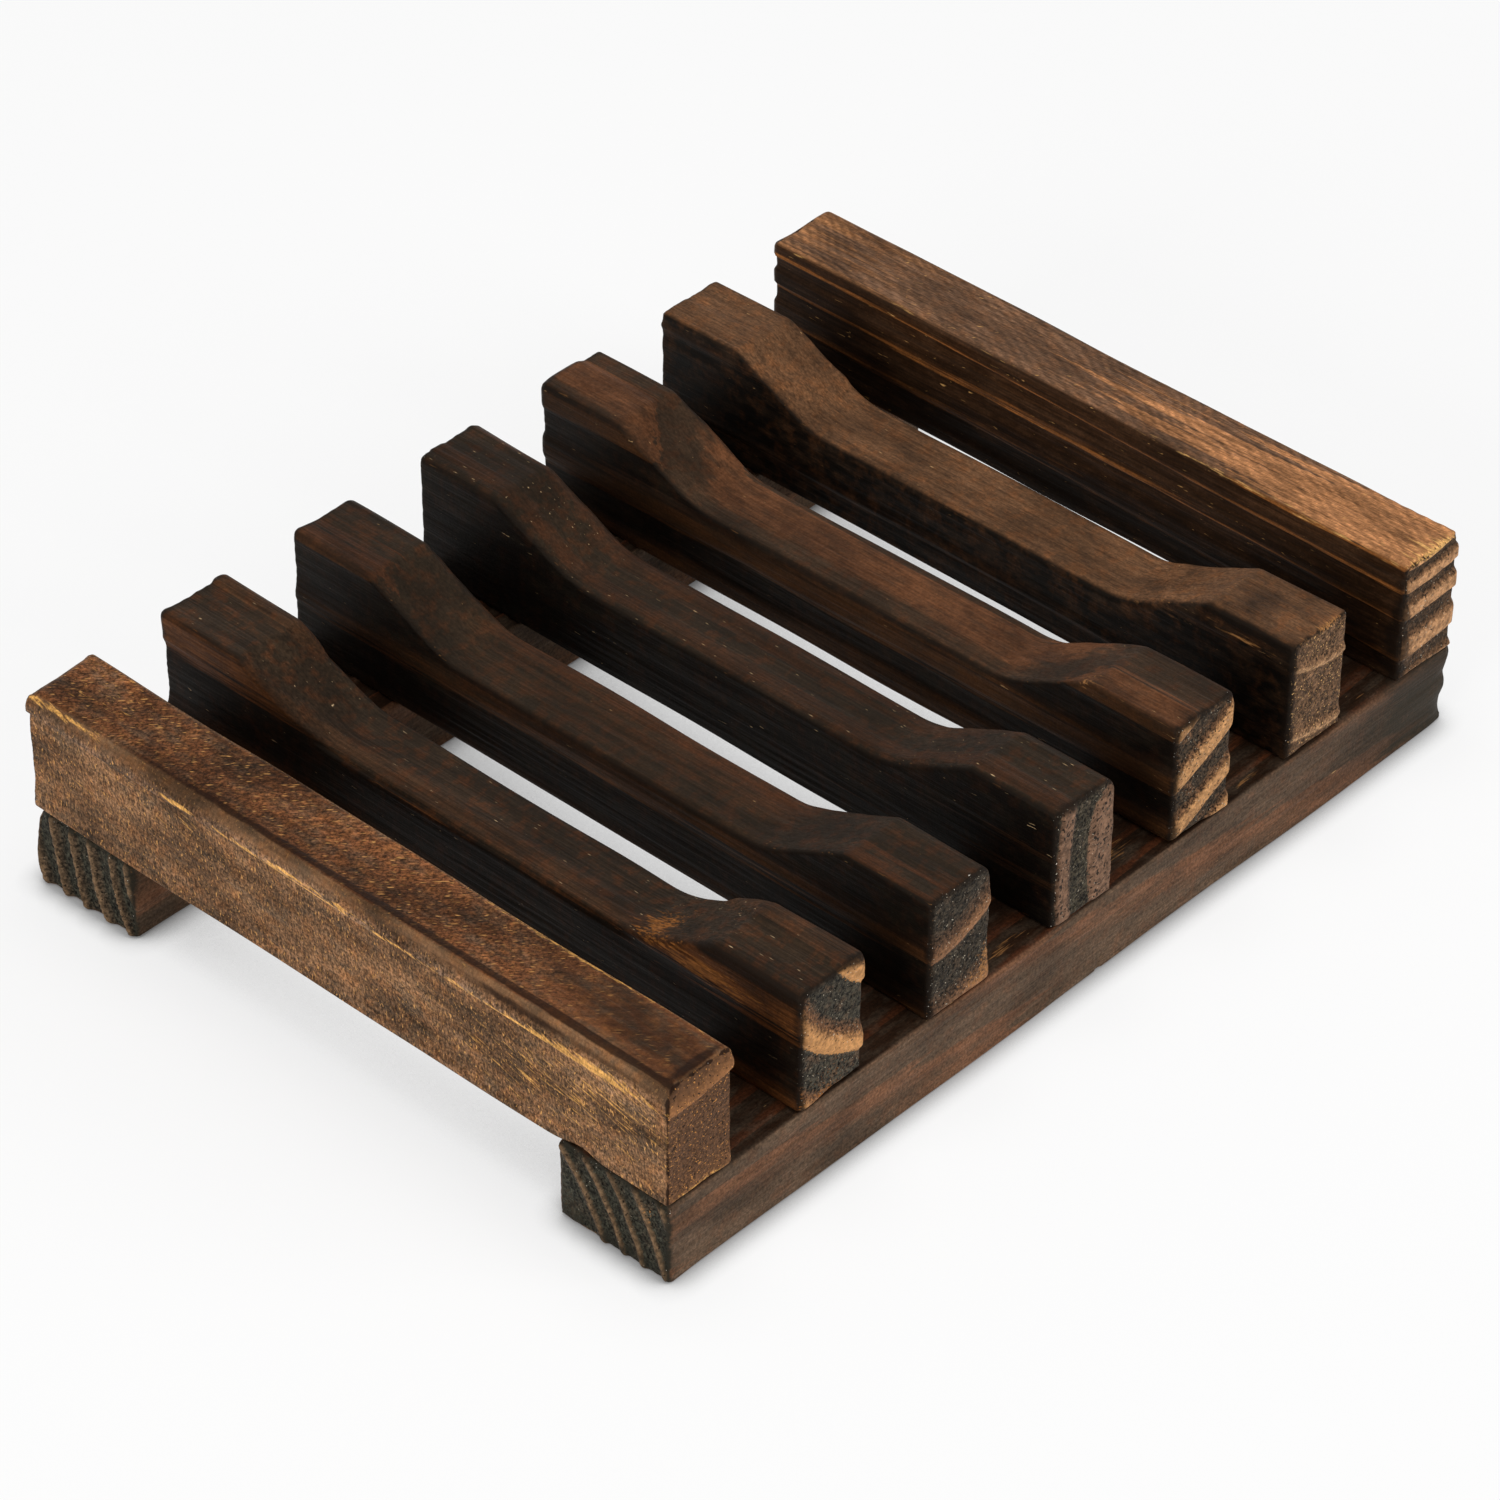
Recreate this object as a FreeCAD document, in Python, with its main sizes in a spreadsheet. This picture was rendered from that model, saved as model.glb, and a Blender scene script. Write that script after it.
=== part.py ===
import FreeCAD, Part
import os

import Sketcher

# Soap dish: a drainer tray of charred, wire-brushed softwood, in millimetres.
#
# Seven slats stand on edge across two flat rails. The slats between the two plain end slats are dished, so
# that together they hold a bar in a shallow hollow, and the gaps between them drain it. One brad at each
# crossing is driven up through the rail into the slat, with its head set just below the rail's underside.
#
# X runs along the rails, Y along the slats and Z up. The origin is on the resting plane, under the middle.

SIZES = {
    # The tray as a whole.
    "tray_length": 115.0,
    "tray_width": 85.0,
    "slat_count": 7,
    # Slats stand on edge, so their height is the strip's wide side.
    "slat_thickness": 8.7,
    "slat_height": 14.1,
    # Rails lie flat.
    "rail_width": 14.0,
    "rail_height": 9.3,
    # Every long edge of the wood is sanded round, and the sawn ends are eased.
    "arris_radius": 1.0,
    "end_chamfer": 0.6,
    # A dished slat keeps a level shoulder at each end. A ramp leads from it down to the level floor.
    "shoulder_length": 11.0,
    "ramp_length": 10.5,
    "hollow_depth": 5.2,
    "shoulder_radius": 6.0,
    "hollow_radius": 12.0,
    # Brads are chisel-pointed, of flat wire with a wider head. The bite is the depth reached in the slat.
    "brad_wire_width": 1.25,
    "brad_wire_thickness": 1.0,
    "brad_head_width": 2.0,
    "brad_head_height": 0.7,
    "brad_set_depth": 0.5,
    "brad_point_length": 1.3,
    "brad_bite": 6.2,
}

# Formulas that several pieces share, written with the names of the sheet's cells.
FIRST_SLAT = "-(Sizes.tray_length - Sizes.slat_thickness) / 2"
SLAT_SPAN = "(Sizes.tray_length - Sizes.slat_thickness)"
BRAD_LINE = "(Sizes.tray_width - Sizes.rail_width) / 2"
HEAD_TOP = "(Sizes.brad_set_depth + Sizes.brad_head_height)"

# Two lengths closer than this count as the same when edges are looked up.
SAME = 1e-4

doc = FreeCAD.newDocument("soap_dish")
sheet = doc.addObject("Spreadsheet::Sheet", "Sizes")
for row, (alias, value) in enumerate(SIZES.items(), start=1):
    sheet.set(f"A{row}", alias)
    sheet.set(f"B{row}", str(value))
    sheet.setAlias(f"B{row}", alias)
doc.recompute()


def size(alias):
    """Value of one cell of the sheet, as a plain number."""
    return float(sheet.get(alias))


def new_body(label):
    """An empty body that holds one piece."""
    body = doc.addObject("PartDesign::Body", label)
    body.Label = label
    return body


def origin_feature(body, role):
    """The body's own origin plane or axis with the given role."""
    return next(item for item in body.Origin.OriginFeatures if item.Role == role)


def new_sketch(body, role, name):
    """A sketch on one of the body's origin planes."""
    sketch = body.newObject("Sketcher::SketchObject", name)
    sketch.AttachmentSupport = [(origin_feature(body, role), "")]
    sketch.MapMode = "FlatFace"
    return sketch


def dimension(sketch, formula, kind, *where):
    """Add a driving dimension to a sketch and bind it to a formula of the sheet."""
    index = sketch.addConstraint(Sketcher.Constraint(kind, *where))
    sketch.setExpression(f"Constraints[{index}]", formula)


def closed_outline(sketch, corners):
    """Join corners by straight lines, in turn, back to the first."""
    points = [FreeCAD.Vector(across, up, 0) for across, up in corners]
    count = len(points)
    for line in range(count):
        sketch.addGeometry(Part.LineSegment(points[line], points[(line + 1) % count]), False)
    for line in range(count):
        sketch.addConstraint(Sketcher.Constraint("Coincident", line, 2, (line + 1) % count, 1))


def hold_direction(sketch, kind, *lines):
    """Keep lines level (Horizontal) or upright (Vertical)."""
    for line in lines:
        sketch.addConstraint(Sketcher.Constraint(kind, line))


def pad(body, sketch, length, symmetric):
    """Thicken a sketch, to one side of its plane or evenly to both."""
    feature = body.newObject("PartDesign::Pad", "pad")
    feature.Profile = sketch
    feature.SideType = "Symmetric" if symmetric else "One side"
    feature.setExpression("Length", length)
    doc.recompute()
    return feature


def edges_where(feature, test):
    """Names of the feature's edges whose bounding box passes the test."""
    return [f"Edge{i}" for i, edge in enumerate(feature.Shape.Edges, start=1) if test(edge.BoundBox)]


def round_edges(body, base, edges, radius, name):
    """Fillet the named edges of a feature."""
    feature = body.newObject("PartDesign::Fillet", name)
    feature.Base = (base, edges)
    feature.setExpression("Radius", radius)
    doc.recompute()
    return feature


def ease_ends(body, base, edges):
    """Chamfer the outline of both sawn ends."""
    feature = body.newObject("PartDesign::Chamfer", "eased_ends")
    feature.Base = (base, edges)
    feature.setExpression("Size", "Sizes.end_chamfer")
    doc.recompute()
    return feature


def pocket(body, sketch, name):
    """Cut a brad's outline as deep as its wire is thick, evenly to both sides of the sketch."""
    wood_before = body.Tip.Shape.Volume
    feature = body.newObject("PartDesign::Pocket", name)
    feature.Profile = sketch
    feature.SideType = "Symmetric"
    feature.setExpression("Length", "Sizes.brad_wire_thickness")
    doc.recompute()
    if feature.Shape.Volume >= wood_before:
        raise RuntimeError(f"{body.Label}: {name} cut nothing")
    return feature


def make_rail(label, side):
    """A flat strip with round edges, and under every slat a hole with a seat for the brad's head."""
    body = new_body(label)
    half_length = size("tray_length") / 2
    half_width = size("rail_width") / 2
    outline = new_sketch(body, "XY_Plane", "outline")
    closed_outline(outline, [(-half_length, -half_width), (half_length, -half_width),
                             (half_length, half_width), (-half_length, half_width)])
    hold_direction(outline, "Horizontal", 0, 2)
    hold_direction(outline, "Vertical", 1, 3)
    outline.addConstraint(Sketcher.Constraint("Symmetric", 0, 1, 1, 2, -1, 1))
    dimension(outline, "Sizes.tray_length", "DistanceX", 0, 1, 0, 2, 2 * half_length)
    dimension(outline, "Sizes.rail_width", "DistanceY", 1, 1, 1, 2, 2 * half_width)
    strip = pad(body, outline, "Sizes.rail_height", symmetric=False)

    def is_long(box):
        return box.XLength > half_length

    def is_end(box):
        return box.XLength < SAME

    rounded = round_edges(body, strip, edges_where(strip, is_long), "Sizes.arris_radius", "arrises")
    ease_ends(body, rounded, edges_where(rounded, is_end))

    wire = size("brad_wire_width") / 2
    head = size("brad_head_width") / 2
    head_top = size("brad_set_depth") + size("brad_head_height")
    top = size("rail_height")
    hole = new_sketch(body, "XZ_Plane", "brad_hole_outline")
    closed_outline(hole, [(-head, 0), (head, 0), (head, head_top), (wire, head_top), (wire, top),
                          (-wire, top), (-wire, head_top), (-head, head_top)])
    hold_direction(hole, "Horizontal", 0, 2, 6)
    hold_direction(hole, "Vertical", 1, 3, 5, 7)
    hole.addConstraint(Sketcher.Constraint("Symmetric", 0, 1, 0, 2, -1, 1))
    hole.addConstraint(Sketcher.Constraint("Symmetric", 4, 1, 4, 2, -2))
    hole.addConstraint(Sketcher.Constraint("Equal", 1, 7))
    dimension(hole, "Sizes.brad_head_width", "DistanceX", 0, 1, 0, 2, 2 * head)
    dimension(hole, HEAD_TOP, "DistanceY", 1, 1, 1, 2, head_top)
    dimension(hole, "Sizes.brad_wire_width", "DistanceX", 4, 2, 4, 1, 2 * wire)
    dimension(hole, "Sizes.rail_height", "DistanceY", 0, 2, 4, 1, top)
    hole.setExpression("AttachmentOffset.Base.x", FIRST_SLAT)
    doc.recompute()

    first = pocket(body, hole, "first_brad_hole")
    row = body.newObject("PartDesign::LinearPattern", "brad_hole_row")
    row.Originals = [first]
    row.Direction = (origin_feature(body, "X_Axis"), [""])
    row.setExpression("Length", SLAT_SPAN)
    row.setExpression("Occurrences", "Sizes.slat_count")
    body.Tip = row
    body.setExpression("Placement.Base.y", f"{side} * {BRAD_LINE}")
    return body


def slat_outline(sketch, dished):
    """Side view of a slat, Y across and Z up from its underside: a rectangle, with the hollow if dished."""
    end = size("tray_width") / 2
    top = size("slat_height")
    if not dished:
        closed_outline(sketch, [(-end, 0), (end, 0), (end, top), (-end, top)])
        hold_direction(sketch, "Horizontal", 0, 2)
        hold_direction(sketch, "Vertical", 1, 3)
    else:
        crest = end - size("shoulder_length")
        toe = crest - size("ramp_length")
        floor = top - size("hollow_depth")
        closed_outline(sketch, [(-end, 0), (end, 0), (end, top), (crest, top), (toe, floor),
                                (-toe, floor), (-crest, top), (-end, top)])
        hold_direction(sketch, "Horizontal", 0, 2, 6)
        hold_direction(sketch, "Vertical", 1, 7)
        sketch.addConstraint(Sketcher.Constraint("Symmetric", 2, 2, 5, 2, -2))
        sketch.addConstraint(Sketcher.Constraint("Symmetric", 4, 1, 4, 2, -2))
        dimension(sketch, "Sizes.shoulder_length", "DistanceX", 2, 2, 2, 1, end - crest)
        dimension(sketch, "Sizes.ramp_length", "DistanceX", 3, 2, 3, 1, crest - toe)
        dimension(sketch, "Sizes.hollow_depth", "DistanceY", 3, 2, 3, 1, top - floor)
    sketch.addConstraint(Sketcher.Constraint("Symmetric", 0, 1, 0, 2, -1, 1))
    dimension(sketch, "Sizes.tray_width", "DistanceX", 0, 1, 0, 2, 2 * end)
    dimension(sketch, "Sizes.slat_height", "DistanceY", 1, 1, 1, 2, top)


def round_hollow(body, blank):
    """Blend the hollow's creases: a convex radius at each shoulder and a concave one at the floor."""
    crest = size("tray_width") / 2 - size("shoulder_length")
    toe = crest - size("ramp_length")

    def crease_at(distance):
        return lambda box: box.YLength < SAME and abs(abs(box.YMin) - distance) < SAME

    shoulders = edges_where(blank, crease_at(crest))
    eased = round_edges(body, blank, shoulders, "Sizes.shoulder_radius", "shoulder_blends")
    floor_creases = edges_where(eased, crease_at(toe))
    return round_edges(body, eased, floor_creases, "Sizes.hollow_radius", "floor_blends")


def make_slat(label, index, dished):
    """A slat on edge, its outline padded through its thickness, with a blind brad hole over each rail."""
    body = new_body(label)
    outline = new_sketch(body, "YZ_Plane", "outline")
    slat_outline(outline, dished)
    blank = pad(body, outline, "Sizes.slat_thickness", symmetric=True)
    if dished:
        blank = round_hollow(body, blank)
    end = size("tray_width") / 2

    def is_long(box):
        return box.XLength < SAME and box.YLength > SAME

    def is_end(box):
        return box.YLength < SAME and abs(abs(box.YMin) - end) < SAME

    rounded = round_edges(body, blank, edges_where(blank, is_long), "Sizes.arris_radius", "arrises")
    ease_ends(body, rounded, edges_where(rounded, is_end))

    wire = size("brad_wire_width") / 2
    tip = size("brad_bite")
    point = tip - size("brad_point_length")
    hole = new_sketch(body, "XZ_Plane", "brad_hole_outline")
    closed_outline(hole, [(-wire, 0), (wire, 0), (wire, point), (0, tip), (-wire, point)])
    hold_direction(hole, "Horizontal", 0)
    hold_direction(hole, "Vertical", 1, 4)
    hole.addConstraint(Sketcher.Constraint("Symmetric", 0, 1, 0, 2, -1, 1))
    hole.addConstraint(Sketcher.Constraint("PointOnObject", 2, 2, -2))
    hole.addConstraint(Sketcher.Constraint("Equal", 1, 4))
    dimension(hole, "Sizes.brad_wire_width", "DistanceX", 0, 1, 0, 2, 2 * wire)
    dimension(hole, "Sizes.brad_bite", "DistanceY", -1, 1, 2, 2, tip)
    dimension(hole, "Sizes.brad_point_length", "DistanceY", 2, 1, 2, 2, tip - point)
    hole.setExpression("AttachmentOffset.Base.z", BRAD_LINE)
    doc.recompute()

    first = pocket(body, hole, "left_brad_hole")
    pair = body.newObject("PartDesign::Mirrored", "brad_hole_pair")
    pair.Originals = [first]
    pair.MirrorPlane = (origin_feature(body, "XZ_Plane"), [""])
    body.Tip = pair
    body.setExpression("Placement.Base.x", f"{FIRST_SLAT} + {index} * {SLAT_SPAN} / (Sizes.slat_count - 1)")
    body.setExpression("Placement.Base.z", "Sizes.rail_height")
    return body


def make_brads(label):
    """One brad, its outline padded to the wire's thickness, repeated at every crossing of slat and rail."""
    body = new_body(label)
    head = size("brad_head_width") / 2
    wire = size("brad_wire_width") / 2
    bottom = size("brad_set_depth")
    head_top = bottom + size("brad_head_height")
    tip = size("rail_height") + size("brad_bite")
    point = tip - size("brad_point_length")
    outline = new_sketch(body, "XZ_Plane", "outline")
    closed_outline(outline, [(-head, bottom), (head, bottom), (head, head_top), (wire, head_top),
                             (wire, point), (0, tip), (-wire, point), (-wire, head_top), (-head, head_top)])
    hold_direction(outline, "Horizontal", 2, 7)
    hold_direction(outline, "Vertical", 1, 3, 6, 8)
    outline.addConstraint(Sketcher.Constraint("Symmetric", 0, 1, 0, 2, -2))
    outline.addConstraint(Sketcher.Constraint("Symmetric", 3, 1, 6, 2, -2))
    outline.addConstraint(Sketcher.Constraint("PointOnObject", 4, 2, -2))
    outline.addConstraint(Sketcher.Constraint("Equal", 3, 6))
    dimension(outline, "Sizes.brad_set_depth", "DistanceY", -1, 1, 0, 2, bottom)
    dimension(outline, "Sizes.brad_head_width", "DistanceX", 0, 1, 0, 2, 2 * head)
    dimension(outline, "Sizes.brad_head_height", "DistanceY", 1, 1, 1, 2, head_top - bottom)
    dimension(outline, "Sizes.brad_wire_width / 2", "DistanceX", -1, 1, 3, 1, wire)
    dimension(outline, "Sizes.rail_height + Sizes.brad_bite", "DistanceY", -1, 1, 4, 2, tip)
    dimension(outline, "Sizes.brad_point_length", "DistanceY", 4, 1, 4, 2, tip - point)
    outline.setExpression("AttachmentOffset.Base.x", FIRST_SLAT)
    outline.setExpression("AttachmentOffset.Base.z", BRAD_LINE)
    doc.recompute()
    brad = pad(body, outline, "Sizes.brad_wire_thickness", symmetric=True)

    grid = body.newObject("PartDesign::LinearPattern", "brad_grid")
    grid.Originals = [brad]
    grid.Direction = (origin_feature(body, "X_Axis"), [""])
    grid.setExpression("Length", SLAT_SPAN)
    grid.setExpression("Occurrences", "Sizes.slat_count")
    grid.Direction2 = (origin_feature(body, "Y_Axis"), [""])
    grid.setExpression("Length2", f"2 * {BRAD_LINE}")
    grid.Occurrences2 = 2
    body.Tip = grid
    return body


last = int(size("slat_count")) - 1
pieces = [
    make_rail("left_rail", 1),
    make_rail("right_rail", -1),
    make_slat("front_end_slat", 0, dished=False),
]
for number in range(1, last):
    pieces.append(make_slat(f"dished_slat_{number}", number, dished=True))
pieces.append(make_slat("rear_end_slat", last, dished=False))
pieces.append(make_brads("brads"))
doc.recompute()

# Every feature has to be sound before anything is written.
for item in doc.Objects:
    if "Invalid" in item.State or "Error" in item.State:
        raise RuntimeError(f"{item.Label} failed: {item.State}")
for piece in pieces:
    if piece.Shape.isNull() or not piece.Shape.isValid():
        raise RuntimeError(f"{piece.Label} has no sound shape")

os.makedirs("parts", exist_ok=True)
for piece in pieces:
    piece.Shape.exportStep(f"parts/{piece.Label}.step")
    print(f"{piece.Label}: {len(piece.Shape.Solids)} solids, {piece.Shape.Volume:.2f} mm3")
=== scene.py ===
import bpy
import numpy as np
from mathutils import Matrix, Vector


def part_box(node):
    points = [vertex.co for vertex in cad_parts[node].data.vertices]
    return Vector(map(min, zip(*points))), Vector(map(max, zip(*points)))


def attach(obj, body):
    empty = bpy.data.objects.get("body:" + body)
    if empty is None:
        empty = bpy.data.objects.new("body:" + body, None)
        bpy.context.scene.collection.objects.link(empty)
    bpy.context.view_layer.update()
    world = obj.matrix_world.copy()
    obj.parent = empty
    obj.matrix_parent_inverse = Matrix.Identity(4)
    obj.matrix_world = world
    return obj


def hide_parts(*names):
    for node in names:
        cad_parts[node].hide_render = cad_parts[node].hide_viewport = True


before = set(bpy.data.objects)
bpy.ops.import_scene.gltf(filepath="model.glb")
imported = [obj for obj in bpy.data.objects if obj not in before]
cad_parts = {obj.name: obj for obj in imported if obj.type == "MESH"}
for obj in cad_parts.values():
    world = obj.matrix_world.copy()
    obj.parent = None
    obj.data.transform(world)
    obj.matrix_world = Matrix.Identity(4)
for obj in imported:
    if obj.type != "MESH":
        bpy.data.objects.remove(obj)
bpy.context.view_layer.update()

# Rails: two flat softwood strips that carry the tray, sawn to length, charred with a torch and wire-brushed.
# Brushing wears the soft early wood of each growth ring away, so the hard late wood stands as ridges at the
# ends and along the undersides. Each rail has seven small pockets below, where the brads are driven in.
MM = 0.001
ALONG_X, ALONG_Y = 0, 1
GRAIN_STEP, CROSS_STEP = 0.4, 0.21
END_EASE, CROSS_EASE = 0.7, 0.6
ARRIS_WAVE, ARRIS_VARIES, ARRIS_LIMITS = 30.0, 0.22, (0.15, 3.0)
RING_WAVES, RING_BREAK, SOFT_SHARE = (55.0, 11.0), 0.9, 0.55
UNEVEN, UNEVEN_WAVES = 0.03, (26.0, 4.0)
BRUSHED, BRUSH_WAVES = 0.016, (22.0, 0.9)
PITTED, SAW_WAVER = 0.03, 9.0
POCKET_DEPTH, POCKET_HALF_LENGTH, POCKET_HALF_WIDTH, POCKET_WALL = 0.55, 1.02, 0.52, 1.04


def stations(half, ease, step):
    """Places along one side of a block from -half to half: equal steps on the flat, and five places beside
    each edge at equal angles, ease times the tangent of 0 to 45 degrees, so that an edge eased there comes
    out round."""
    turn = ease * np.tan(np.radians(np.linspace(0, 45, 6)))
    flat = np.linspace(ease - half, half - ease, round(2 * (half - ease) / step) + 1)
    return np.unique(np.round(np.concatenate([ease - half - turn, flat, half - ease + turn]), 5))


def block_skin(rows):
    """The skin of a block as six grids that share their edge points. rows holds the places along x, y and z.
    The points on the lattice's outside are numbered once, and each face is a grid of those numbers."""
    lattice = np.indices([len(row) for row in rows])
    last = np.array([len(row) - 1 for row in rows]).reshape(3, 1, 1, 1)
    outside = ((lattice == 0) | (lattice == last)).any(axis=0)
    number = np.cumsum(outside).reshape(outside.shape) - 1
    faces = []
    for axis in range(3):
        for side, outward in ((0, axis == 1), (-1, axis != 1)):
            grid = number.take(side, axis=axis)
            corners = grid[:-1, :-1], grid[1:, :-1], grid[1:, 1:], grid[:-1, 1:]
            quads = np.stack(corners, axis=-1).reshape(-1, 4)
            faces.append(quads if outward else quads[:, ::-1])
    points = np.stack([row[index] for row, index in zip(rows, lattice[:, outside])], axis=-1)
    return points, np.concatenate(faces)


def ripple(points, lengths, seed, waves=12):
    """Smooth unevenness of about unit height: the sum of sine waves whose directions, lengths and starts come
    from a seeded draw. lengths are the usual wavelengths along x, y and z."""
    draw = np.random.default_rng(seed)
    ways = draw.normal(size=(waves, 3))
    ways *= (draw.uniform(0.6, 1.5, waves) / np.linalg.norm(ways, axis=1))[:, None]
    phase = 2 * np.pi * (points / np.array(lengths) @ ways.T + draw.uniform(0, 1, waves))
    return np.sin(phase).sum(axis=1) * np.sqrt(2 / waves)


def smooth_step(start, end, value):
    """0 before start, 1 after end, and the cubic 3t^2 - 2t^3 between them."""
    t = np.clip((value - start) / (end - start), 0, 1)
    return t * t * (3 - 2 * t)


def soft_spots(points, spots):
    """The sum of soft spots, each its strength times the bell curve exp(-d^2), where d is the distance from
    the spot's middle counted in its half sizes along x, y and z."""
    total = np.zeros(len(points))
    for middle, half_sizes, strength in spots:
        total += strength * np.exp(-(((points - middle) / half_sizes) ** 2).sum(axis=1))
    return total


def eased(points, half, grain, arris, end_ease):
    """Rounds a block's arrises. What stands out of the core, which is the section less the arris radius, is
    drawn in from a square shell to a round one. The ends are eased alike: within end_ease of them the section
    shrinks and its rim draws back, so that the square between side and end becomes a quarter circle."""
    cross = [axis for axis in range(3) if axis != grain]
    core_half = half[cross] - arris[:, None]
    core = np.clip(points[:, cross], -core_half, core_half)
    out = points[:, cross] - core
    square, circle = np.abs(out).max(axis=1), np.hypot(out[:, 0], out[:, 1])
    rounded = core + out * (square / np.maximum(circle, 1e-9))[:, None]
    over = np.maximum(end_ease - (half[cross] - np.abs(points[:, cross])).min(axis=1), 0)
    past = np.maximum(np.abs(points[:, grain]) - half[grain] + end_ease, 0)
    drawn = 1 - np.maximum(over, past) / np.maximum(np.hypot(over, past), 1e-9)
    moved = points.copy()
    moved[:, cross] = rounded * (1 - (over * drawn)[:, None] / half[cross])
    moved[:, grain] -= np.sign(points[:, grain]) * past * drawn
    return moved


def outward_normals(points, quads):
    """Unit normals at the points: the crossed diagonals of the faces round each point, added up."""
    first, second, third, fourth = (points[quads[:, corner]] for corner in range(4))
    crossed = np.cross(third - first, fourth - second)
    total = np.stack([np.bincount(quads.ravel(), np.repeat(crossed[:, axis], 4), len(points))
                      for axis in range(3)], axis=-1)
    return total / np.linalg.norm(total, axis=1, keepdims=True)


def growth_rings(points, grain, half_length, wood, seed):
    """Ring number at each point: its distance from the pith, a line along the grain, plus the drift of the
    rings from the first end on, a slow waver and any bends, read off against the distances at which the
    rings end."""
    cross = [axis for axis in range(3) if axis != grain]
    lengths = np.where(np.arange(3) == grain, *RING_WAVES)
    distance = (np.hypot(*(points[:, cross] - wood["pith"]).T)
                + wood["drift"] * (points[:, grain] + half_length)
                + wood["waver"] * ripple(points, lengths, seed) + soft_spots(points, wood.get("bends", ())))
    return np.interp(distance, wood["ring_ends"], np.arange(len(wood["ring_ends"])))


def late_wood(ring, wood):
    """How hard the wood is within its ring, 0 to 1: soft at first, hard from late_start on, and soft again
    within a short way of where the next ring begins."""
    part = ring % 1
    soft_end, late_start = wood["late"]
    return smooth_step(soft_end, late_start, part) * (1 - smooth_step(RING_BREAK, 1.0, part))


def brushed_board(node, grain, wood, seed, hollow=None, pockets=()):
    """A brushed board in the place of a CAD node: its box as a skin of grids, arrises eased by radii that
    vary along the grain, the hollow let into its top, and the soft wood sunk below the hard by the depth of
    the relief, with brush lines along the faces, pits in the soft end grain, saw marks on the top and dents.
    Places on the board are written from its low edges and, along the grain, from its middle."""
    low, high = (np.array(corner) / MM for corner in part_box(node))
    centre, half = (low + high) / 2, (high - low) / 2
    along = np.arange(3) == grain
    cross = [axis for axis in range(3) if axis != grain]
    rows = [stations(half[axis], *((END_EASE, GRAIN_STEP) if axis == grain else (CROSS_EASE, CROSS_STEP)))
            for axis in range(3)]
    pocket_rows = (ALONG_X, pockets, POCKET_HALF_LENGTH), (ALONG_Y, [centre[1]], POCKET_HALF_WIDTH)
    for axis, places, size in pocket_rows:
        if len(pockets):
            walls = size * np.array([-POCKET_WALL, -1, 1, POCKET_WALL])
            sides = (np.array(places) - centre[axis])[:, None] + walls
            rows[axis] = np.unique(np.round(np.concatenate([rows[axis], sides.ravel()]), 5))
    block, quads = block_skin(rows)

    inset = half - np.abs(block)
    edge = np.sort(inset, axis=1)[:, 1]
    from_first_side, from_top = block[:, cross[0]] + half[cross[0]], half[2] - block[:, 2]
    end_rim = np.maximum(inset[:, grain], np.minimum(from_first_side, from_top))
    long_edge = np.maximum(inset[:, cross[0]], from_top)
    corner = np.sign(block)
    corner[:, grain] = block[:, grain] / ARRIS_WAVE
    arris = np.array(wood["arris"])[(corner[:, cross[0]] > 0) + 2 * (corner[:, cross[1]] > 0)]
    arris = np.clip(arris * (1 + ARRIS_VARIES * ripple(corner, (1, 1, 1), seed + 1)), *ARRIS_LIMITS)
    beside, above = wood.get("end_ease", (END_EASE, END_EASE))
    end_ease = beside + (above - beside) * smooth_step(-0.6, 0.6, inset[:, cross[0]] - from_top)
    points = eased(block, half, grain, arris, end_ease)
    if hollow:
        points[:, 2] -= hollow(half[grain] - np.abs(points[:, grain]), points[:, 2] + half[2])
    normals = outward_normals(points, quads)
    board_zero = np.where(along, centre, low)
    points += centre - board_zero

    ring = growth_rings(points, grain, half[grain], wood, seed)
    hard = late_wood(ring, wood)
    # Spots of the board: positive ones are worn places, and negative ones darken it, partly char and partly
    # painted shade. Rubbed spots smooth its texture.
    wear_soot_and_shade, rubbed = (soft_spots(points, wood.get(kind, ())) for kind in ("wear_soot_and_shade", "rubbed"))
    end_grain, facing_up = np.abs(normals[:, grain]), np.maximum(normals[:, 2], 0)
    at_end = smooth_step(0.5, 0.9, end_grain)
    face_relief, end_relief = wood["relief"]
    proud = (hard - SOFT_SHARE) * (face_relief + (end_relief - face_relief) * at_end)
    proud += UNEVEN * np.clip(ripple(points, np.where(along, *UNEVEN_WAVES), seed + 2), -1.5, 1.5)
    proud += BRUSHED * (1 - at_end) * ripple(points, np.where(along, *BRUSH_WAVES), seed + 3, waves=24)
    pits = np.abs(np.random.default_rng(seed + 4).normal(size=len(points)))
    proud -= PITTED * at_end * (1 - hard) * pits
    saw_pitch, saw_turn, saw_depth = wood.get("saw", (1.0, 0.0, 0.0))
    saw_turn = np.radians(saw_turn)
    saw_line = points[:, cross[0]] * np.cos(saw_turn) + points[:, grain] * np.sin(saw_turn)
    saw_wave = np.sin(2 * np.pi * saw_line / saw_pitch + 2 * ripple(points, [SAW_WAVER] * 3, seed + 5))
    saw_mark = smooth_step(0.8, 0.95, facing_up) * saw_wave
    proud += saw_depth * saw_mark
    proud -= soft_spots(points, wood.get("dents", ()))
    points += normals * proud[:, None] + board_zero
    points[:, 2] = np.maximum(points[:, 2], 0)
    for place in pockets:
        inside = ((np.abs(block[:, ALONG_X] + centre[0] - place) <= POCKET_HALF_LENGTH + 1e-4)
                  & (np.abs(block[:, ALONG_Y]) <= POCKET_HALF_WIDTH + 1e-4) & (normals[:, 2] < -0.9))
        points[inside, 2] = POCKET_DEPTH

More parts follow.
